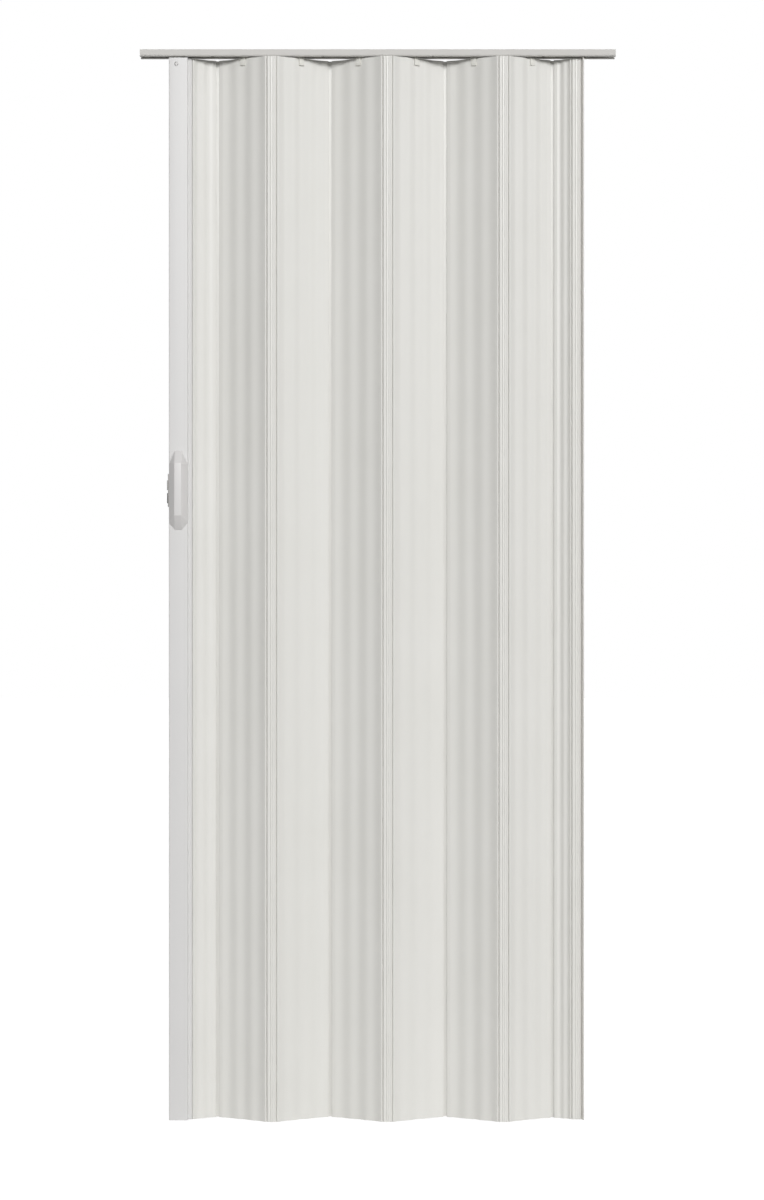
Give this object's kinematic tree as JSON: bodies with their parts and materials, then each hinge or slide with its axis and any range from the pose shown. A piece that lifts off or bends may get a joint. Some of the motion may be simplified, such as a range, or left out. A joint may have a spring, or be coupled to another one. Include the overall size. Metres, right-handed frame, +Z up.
{
  "type": "folding door",
  "caption": "White vinyl folding door of fluted panels on hinge strips, hung on gliders in a head track, with a lead post, a pull handle on each face and a slide latch.",
  "frame": {"origin": "centre of the top face of the head track", "axes": "+X along the track towards the jamb strip, -Y out of the front, +Z up"},
  "size_m": [0.896, 0.0514, 2.0171],
  "materials": {
    "vinyl_panel": "extruded white PVC, satin",
    "vinyl_hinge": "soft white PVC, satin",
    "vinyl_post": "extruded white PVC, satin",
    "vinyl_trim": "extruded pale grey PVC, satin",
    "track_enamel": "pale grey enamel, satin",
    "nylon": "moulded nylon",
    "handle": "moulded ABS, satin",
    "latch_grey": "moulded grey plastic",
    "latch_dark": "moulded dark plastic",
    "screw": "zinc plated"
  },
  "bodies": {
    "track": {"head_track": "track_enamel", "jamb_strip": "vinyl_trim", "jamb_hinge": "vinyl_hinge"},
    "jamb_half_panel": {"jamb_half_panel": "vinyl_panel"},
    "panel_6": {"panel_6": "vinyl_panel", "hanger_clip_6": "nylon"},
    "back_hinge_4": {"back_hinge_4": "vinyl_hinge"},
    "glider_6": {"glider_6": "nylon"},
    "panel_5": {"panel_5": "vinyl_panel", "hanger_clip_5": "nylon"},
    "front_hinge_3": {"front_hinge_3": "vinyl_hinge"},
    "glider_5": {"glider_5": "nylon"},
    "panel_4": {"panel_4": "vinyl_panel", "hanger_clip_4": "nylon"},
    "back_hinge_3": {"back_hinge_3": "vinyl_hinge"},
    "glider_4": {"glider_4": "nylon"},
    "panel_3": {"panel_3": "vinyl_panel", "hanger_clip_3": "nylon"},
    "front_hinge_2": {"front_hinge_2": "vinyl_hinge"},
    "glider_3": {"glider_3": "nylon"},
    "panel_2": {"panel_2": "vinyl_panel", "hanger_clip_2": "nylon"},
    "back_hinge_2": {"back_hinge_2": "vinyl_hinge"},
    "glider_2": {"glider_2": "nylon"},
    "panel_1": {"panel_1": "vinyl_panel", "hanger_clip_1": "nylon"},
    "front_hinge_1": {"front_hinge_1": "vinyl_hinge"},
    "glider_1": {"glider_1": "nylon"},
    "lead_half_panel": {"lead_half_panel": "vinyl_panel"},
    "back_hinge_1": {"back_hinge_1": "vinyl_hinge"},
    "lead_post": {"lead_post": "vinyl_post", "lead_glider": "nylon", "lead_glider_screw": "screw", "handle_front": "handle", "handle_back": "handle", "handle_screws": "screw", "latch_plate": "latch_grey", "latch_guide": "latch_grey", "latch_screws": "screw"},
    "latch_slide": {"latch_slide": "latch_dark"}
  },
  "joints": [
    {"name": "jamb_hinge_left_fold", "type": "hinge", "parent": "track", "child": "jamb_half_panel", "pos_m": [0.3692, 0, -1], "axis": [0, 0, 1], "range_deg": [-60, 12]},
    {"name": "back_hinge_4_right_fold", "type": "hinge", "parent": "jamb_half_panel", "child": "back_hinge_4", "pos_m": [0.33612, 0.01543, -1], "axis": [0, 0, 1], "range_deg": [-12, 60]},
    {"name": "back_hinge_4_left_fold", "type": "hinge", "parent": "back_hinge_4", "child": "panel_6", "pos_m": [0.32412, 0.01543, -1], "axis": [0, 0, 1], "range_deg": [-12, 60]},
    {"name": "glider_6_swivel", "type": "hinge", "parent": "panel_6", "child": "glider_6", "pos_m": [0.29104, 0, -1], "axis": [0, 0, 1], "range_deg": [-60, 12]},
    {"name": "front_hinge_3_right_fold", "type": "hinge", "parent": "panel_6", "child": "front_hinge_3", "pos_m": [0.24255, -0.02261, -1], "axis": [0, 0, 1], "range_deg": [-60, 12]},
    {"name": "front_hinge_3_left_fold", "type": "hinge", "parent": "front_hinge_3", "child": "panel_5", "pos_m": [0.23055, -0.02261, -1], "axis": [0, 0, 1], "range_deg": [-60, 12]},
    {"name": "glider_5_swivel", "type": "hinge", "parent": "panel_5", "child": "glider_5", "pos_m": [0.18206, 0, -1], "axis": [0, 0, 1], "range_deg": [-12, 60]},
    {"name": "back_hinge_3_right_fold", "type": "hinge", "parent": "panel_5", "child": "back_hinge_3", "pos_m": [0.13358, 0.02261, -1], "axis": [0, 0, 1], "range_deg": [-12, 60]},
    {"name": "back_hinge_3_left_fold", "type": "hinge", "parent": "back_hinge_3", "child": "panel_4", "pos_m": [0.12158, 0.02261, -1], "axis": [0, 0, 1], "range_deg": [-12, 60]},
    {"name": "glider_4_swivel", "type": "hinge", "parent": "panel_4", "child": "glider_4", "pos_m": [0.07309, 0, -1], "axis": [0, 0, 1], "range_deg": [-60, 12]},
    {"name": "front_hinge_2_right_fold", "type": "hinge", "parent": "panel_4", "child": "front_hinge_2", "pos_m": [0.0246, -0.02261, -1], "axis": [0, 0, 1], "range_deg": [-60, 12]},
    {"name": "front_hinge_2_left_fold", "type": "hinge", "parent": "front_hinge_2", "child": "panel_3", "pos_m": [0.0126, -0.02261, -1], "axis": [0, 0, 1], "range_deg": [-60, 12]},
    {"name": "glider_3_swivel", "type": "hinge", "parent": "panel_3", "child": "glider_3", "pos_m": [-0.03589, 0, -1], "axis": [0, 0, 1], "range_deg": [-12, 60]},
    {"name": "back_hinge_2_right_fold", "type": "hinge", "parent": "panel_3", "child": "back_hinge_2", "pos_m": [-0.08437, 0.02261, -1], "axis": [0, 0, 1], "range_deg": [-12, 60]},
    {"name": "back_hinge_2_left_fold", "type": "hinge", "parent": "back_hinge_2", "child": "panel_2", "pos_m": [-0.09637, 0.02261, -1], "axis": [0, 0, 1], "range_deg": [-12, 60]},
    {"name": "glider_2_swivel", "type": "hinge", "parent": "panel_2", "child": "glider_2", "pos_m": [-0.14486, 0, -1], "axis": [0, 0, 1], "range_deg": [-60, 12]},
    {"name": "front_hinge_1_right_fold", "type": "hinge", "parent": "panel_2", "child": "front_hinge_1", "pos_m": [-0.19335, -0.02261, -1], "axis": [0, 0, 1], "range_deg": [-60, 12]},
    {"name": "front_hinge_1_left_fold", "type": "hinge", "parent": "front_hinge_1", "child": "panel_1", "pos_m": [-0.20535, -0.02261, -1], "axis": [0, 0, 1], "range_deg": [-60, 12]},
    {"name": "glider_1_swivel", "type": "hinge", "parent": "panel_1", "child": "glider_1", "pos_m": [-0.25384, 0, -1], "axis": [0, 0, 1], "range_deg": [-12, 60]},
    {"name": "back_hinge_1_right_fold", "type": "hinge", "parent": "panel_1", "child": "back_hinge_1", "pos_m": [-0.29734, 0.02029, -1], "axis": [0, 0, 1], "range_deg": [-12, 60]},
    {"name": "back_hinge_1_left_fold", "type": "hinge", "parent": "back_hinge_1", "child": "lead_half_panel", "pos_m": [-0.30934, 0.02029, -1], "axis": [0, 0, 1], "range_deg": [-12, 60]},
    {"name": "lead_post_fold", "type": "hinge", "parent": "lead_half_panel", "child": "lead_post", "pos_m": [-0.35284, 0, -1], "axis": [0, 0, 1], "range_deg": [-60, 12]},
    {"name": "latch", "type": "slide", "parent": "lead_post", "child": "latch_slide", "axis": [0, 0, 1], "range_m": [0, 0.0055]}
  ],
  "couplings": [
    {"joint": "jamb_hinge_left_fold", "follows": "back_hinge_1_left_fold", "ratio": -1},
    {"joint": "back_hinge_4_right_fold", "follows": "back_hinge_1_left_fold", "ratio": 1},
    {"joint": "back_hinge_4_left_fold", "follows": "back_hinge_1_left_fold", "ratio": 1},
    {"joint": "glider_6_swivel", "follows": "back_hinge_1_left_fold", "ratio": -1},
    {"joint": "front_hinge_3_right_fold", "follows": "back_hinge_1_left_fold", "ratio": -1},
    {"joint": "front_hinge_3_left_fold", "follows": "back_hinge_1_left_fold", "ratio": -1},
    {"joint": "glider_5_swivel", "follows": "back_hinge_1_left_fold", "ratio": 1},
    {"joint": "back_hinge_3_right_fold", "follows": "back_hinge_1_left_fold", "ratio": 1},
    {"joint": "back_hinge_3_left_fold", "follows": "back_hinge_1_left_fold", "ratio": 1},
    {"joint": "glider_4_swivel", "follows": "back_hinge_1_left_fold", "ratio": -1},
    {"joint": "front_hinge_2_right_fold", "follows": "back_hinge_1_left_fold", "ratio": -1},
    {"joint": "front_hinge_2_left_fold", "follows": "back_hinge_1_left_fold", "ratio": -1},
    {"joint": "glider_3_swivel", "follows": "back_hinge_1_left_fold", "ratio": 1},
    {"joint": "back_hinge_2_right_fold", "follows": "back_hinge_1_left_fold", "ratio": 1},
    {"joint": "back_hinge_2_left_fold", "follows": "back_hinge_1_left_fold", "ratio": 1},
    {"joint": "glider_2_swivel", "follows": "back_hinge_1_left_fold", "ratio": -1},
    {"joint": "front_hinge_1_right_fold", "follows": "back_hinge_1_left_fold", "ratio": -1},
    {"joint": "front_hinge_1_left_fold", "follows": "back_hinge_1_left_fold", "ratio": -1},
    {"joint": "glider_1_swivel", "follows": "back_hinge_1_left_fold", "ratio": 1},
    {"joint": "back_hinge_1_right_fold", "follows": "back_hinge_1_left_fold", "ratio": 1},
    {"joint": "lead_post_fold", "follows": "back_hinge_1_left_fold", "ratio": -1}
  ]
}
